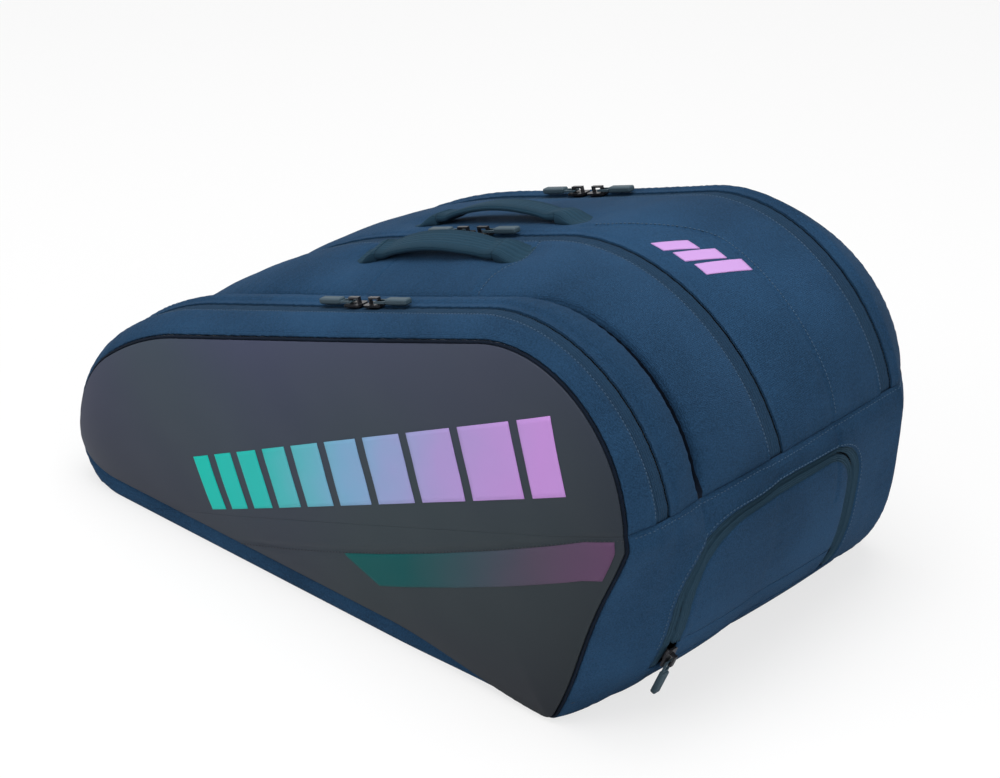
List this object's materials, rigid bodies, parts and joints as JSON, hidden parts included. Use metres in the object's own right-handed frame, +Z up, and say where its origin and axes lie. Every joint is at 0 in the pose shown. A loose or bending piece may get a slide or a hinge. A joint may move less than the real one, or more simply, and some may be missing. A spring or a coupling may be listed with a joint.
{
  "type": "racket bag",
  "caption": "Wide tapered racket bag with zipped lids, a zipped shoe pocket in its wide end, two arched handles and stowed shoulder straps.",
  "frame": {"origin": "on the floor, under the middle of the bag's bounding box", "axes": "+X along the bag's length towards the wide end with the shoe pocket, +Y from the front panel to the rear panel, +Z up"},
  "size_m": [0.588, 0.344, 0.278],
  "materials": {
    "navy_cloth": "woven matt",
    "coated_panel": "satin",
    "welt": "matt",
    "zip_tape": "matt",
    "lining": "matt",
    "foil": "shiny",
    "board": "matt",
    "slider_metal": "satin",
    "puller": "matt",
    "handle_webbing": "ribbed",
    "strap_mesh": "matt",
    "strap_webbing": "ribbed",
    "strap_plastic": "matt"
  },
  "bodies": {
    "bag_tub": {"bottom_panel": "navy_cloth", "end_panel": "navy_cloth", "front_lower_panel": "coated_panel", "front_lower_welt": "welt", "rear_lower_panel": "navy_cloth", "rear_lower_welt": "welt", "strap_recess_lining": "lining", "base_board": "board", "rear_block_gusset": "navy_cloth", "middle_divider": "lining", "thermal_divider_lower": "lining", "zip_2_tape_rear": "zip_tape", "zip_3_tape_front": "zip_tape", "shoe_zip_tape_frame": "zip_tape", "shoe_pocket_liner": "lining", "handle_anchors_rear": "handle_webbing", "strap_rolls": "strap_plastic", "strap_rings": "strap_plastic"},
    "front_section": {"mid_gusset": "navy_cloth", "front_pouch_gusset": "navy_cloth", "thermal_divider_upper": "lining", "thermal_lining": "foil", "zip_1_tape_rear": "zip_tape", "zip_2_tape_front": "zip_tape", "handle_anchors_front": "handle_webbing"},
    "front_lid": {"front_panel_upper": "coated_panel", "front_upper_welt": "welt", "front_lid_gusset": "navy_cloth", "zip_1_tape_front": "zip_tape", "lid_lining": "foil"},
    "rear_lid": {"rear_panel_upper": "navy_cloth", "rear_upper_welt": "welt", "rear_lid_gusset": "navy_cloth", "zip_3_tape_rear": "zip_tape"},
    "shoe_door": {"shoe_door_panel": "navy_cloth", "shoe_zip_tape_door": "zip_tape"},
    "handle_front": {"handle_front": "handle_webbing"},
    "handle_rear": {"handle_rear": "handle_webbing"},
    "strap_front": {"strap_pad_front": "strap_mesh", "strap_buckle_front": "strap_plastic"},
    "strap_rear": {"strap_pad_rear": "strap_mesh", "strap_buckle_rear": "strap_plastic"},
    "webbing_front": {"strap_webbing_front": "strap_webbing"},
    "webbing_rear": {"strap_webbing_rear": "strap_webbing"},
    "shoe_slider": {"shoe_slider": "slider_metal"},
    "shoe_puller": {"shoe_puller": "puller"},
    "zip_1_slider_nose": {"zip_1_slider_nose": "slider_metal"},
    "zip_1_puller_nose": {"zip_1_puller_nose": "puller"},
    "zip_1_slider_wide": {"zip_1_slider_wide": "slider_metal"},
    "zip_1_puller_wide": {"zip_1_puller_wide": "puller"},
    "zip_2_slider_nose": {"zip_2_slider_nose": "slider_metal"},
    "zip_2_puller_nose": {"zip_2_puller_nose": "puller"},
    "zip_2_slider_wide": {"zip_2_slider_wide": "slider_metal"},
    "zip_2_puller_wide": {"zip_2_puller_wide": "puller"},
    "zip_3_slider_nose": {"zip_3_slider_nose": "slider_metal"},
    "zip_3_puller_nose": {"zip_3_puller_nose": "puller"},
    "zip_3_slider_wide": {"zip_3_slider_wide": "slider_metal"},
    "zip_3_puller_wide": {"zip_3_puller_wide": "puller"}
  },
  "joints": [
    {"name": "front_section_hinge", "type": "hinge", "parent": "bag_tub", "child": "front_section", "pos_m": [0, -0.172, 0.07266], "axis": [0.946, 0, 0.3242], "range_deg": [0, 14]},
    {"name": "front_lid_hinge", "type": "hinge", "parent": "front_section", "child": "front_lid", "pos_m": [0, -0.172, 0.07266], "axis": [0.946, 0, 0.3242], "range_deg": [0, 60]},
    {"name": "rear_lid_hinge", "type": "hinge", "parent": "bag_tub", "child": "rear_lid", "pos_m": [0, 0.172, 0.07266], "axis": [-0.946, 0, -0.3242], "range_deg": [0, 60]},
    {"name": "shoe_door_hinge", "type": "hinge", "parent": "bag_tub", "child": "shoe_door", "pos_m": [0.27349, 0, 0.058], "axis": [0, 1, 0], "range_deg": [0, 85]},
    {"name": "handle_front_swing", "type": "hinge", "parent": "front_section", "child": "handle_front", "pos_m": [-0.01005, -0.04189, 0.2418], "axis": [0.9527, 0, 0.304], "range_deg": [-20, 35]},
    {"name": "handle_rear_swing", "type": "hinge", "parent": "bag_tub", "child": "handle_rear", "pos_m": [-0.01012, 0.02457, 0.24683], "axis": [0.9527, 0, 0.304], "range_deg": [-35, 20]},
    {"name": "zip_1_nose_run", "type": "slide", "parent": "front_lid", "child": "zip_1_slider_nose", "axis": [-0.9527, 0, -0.304], "range_m": [0, 0.12]},
    {"name": "zip_1_nose_pull", "type": "hinge", "parent": "zip_1_slider_nose", "child": "zip_1_puller_nose", "pos_m": [-0.01335, -0.128, 0.22949], "axis": [0, 1, 0], "range_deg": [0, 110]},
    {"name": "zip_1_wide_run", "type": "slide", "parent": "front_lid", "child": "zip_1_slider_wide", "axis": [0.9527, 0, 0.304], "range_m": [0, 0.11]},
    {"name": "zip_1_wide_pull", "type": "hinge", "parent": "zip_1_slider_wide", "child": "zip_1_puller_wide", "pos_m": [0.01123, -0.128, 0.23733], "axis": [0, -1, 0], "range_deg": [0, 110]},
    {"name": "zip_2_nose_run", "type": "slide", "parent": "front_section", "child": "zip_2_slider_nose", "axis": [-0.9527, 0, -0.304], "range_m": [0, 0.06]},
    {"name": "zip_2_nose_pull", "type": "hinge", "parent": "zip_2_slider_nose", "child": "zip_2_puller_nose", "pos_m": [-0.02135, -0.008, 0.24137], "axis": [0, 1, 0], "range_deg": [0, 110]},
    {"name": "zip_2_wide_run", "type": "slide", "parent": "front_section", "child": "zip_2_slider_wide", "axis": [0.9527, 0, 0.304], "range_m": [0, 0.08]},
    {"name": "zip_2_wide_pull", "type": "hinge", "parent": "zip_2_slider_wide", "child": "zip_2_puller_wide", "pos_m": [0.00323, -0.008, 0.24921], "axis": [0, -1, 0], "range_deg": [0, 110]},
    {"name": "zip_3_nose_run", "type": "slide", "parent": "rear_lid", "child": "zip_3_slider_nose", "axis": [-0.9527, 0, -0.304], "range_m": [0, 0.06]},
    {"name": "zip_3_nose_pull", "type": "hinge", "parent": "zip_3_slider_nose", "child": "zip_3_puller_nose", "pos_m": [-0.02435, 0.122, 0.23079], "axis": [0, 1, 0], "range_deg": [0, 110]},
    {"name": "zip_3_wide_run", "type": "slide", "parent": "rear_lid", "child": "zip_3_slider_wide", "axis": [0.9527, 0, 0.304], "range_m": [0, 0.105]},
    {"name": "zip_3_wide_pull", "type": "hinge", "parent": "zip_3_slider_wide", "child": "zip_3_puller_wide", "pos_m": [0.00022, 0.122, 0.23863], "axis": [0, -1, 0], "range_deg": [0, 110]},
    {"name": "shoe_zip_run", "type": "slide", "parent": "bag_tub", "child": "shoe_slider", "axis": [0.3962, 0, 0.9181], "range_m": [0, 0.04]},
    {"name": "shoe_pull", "type": "hinge", "parent": "shoe_slider", "child": "shoe_puller", "pos_m": [0.27074, -0.11, 0.04401], "axis": [0, -1, 0], "range_deg": [0, 110]},
    {"name": "strap_front_swing", "type": "hinge", "parent": "bag_tub", "child": "strap_front", "pos_m": [-0.1665, -0.046, 0.0097], "axis": [0, 1, 0], "range_deg": [0, 90]},
    {"name": "strap_front_adjust", "type": "slide", "parent": "strap_front", "child": "webbing_front", "axis": [1, 0, 0], "range_m": [-0.04, 0.008]},
    {"name": "strap_rear_swing", "type": "hinge", "parent": "bag_tub", "child": "strap_rear", "pos_m": [-0.1665, 0.046, 0.0097], "axis": [0, 1, 0], "range_deg": [0, 90]},
    {"name": "strap_rear_adjust", "type": "slide", "parent": "strap_rear", "child": "webbing_rear", "axis": [1, 0, 0], "range_m": [-0.04, 0.008]}
  ]
}
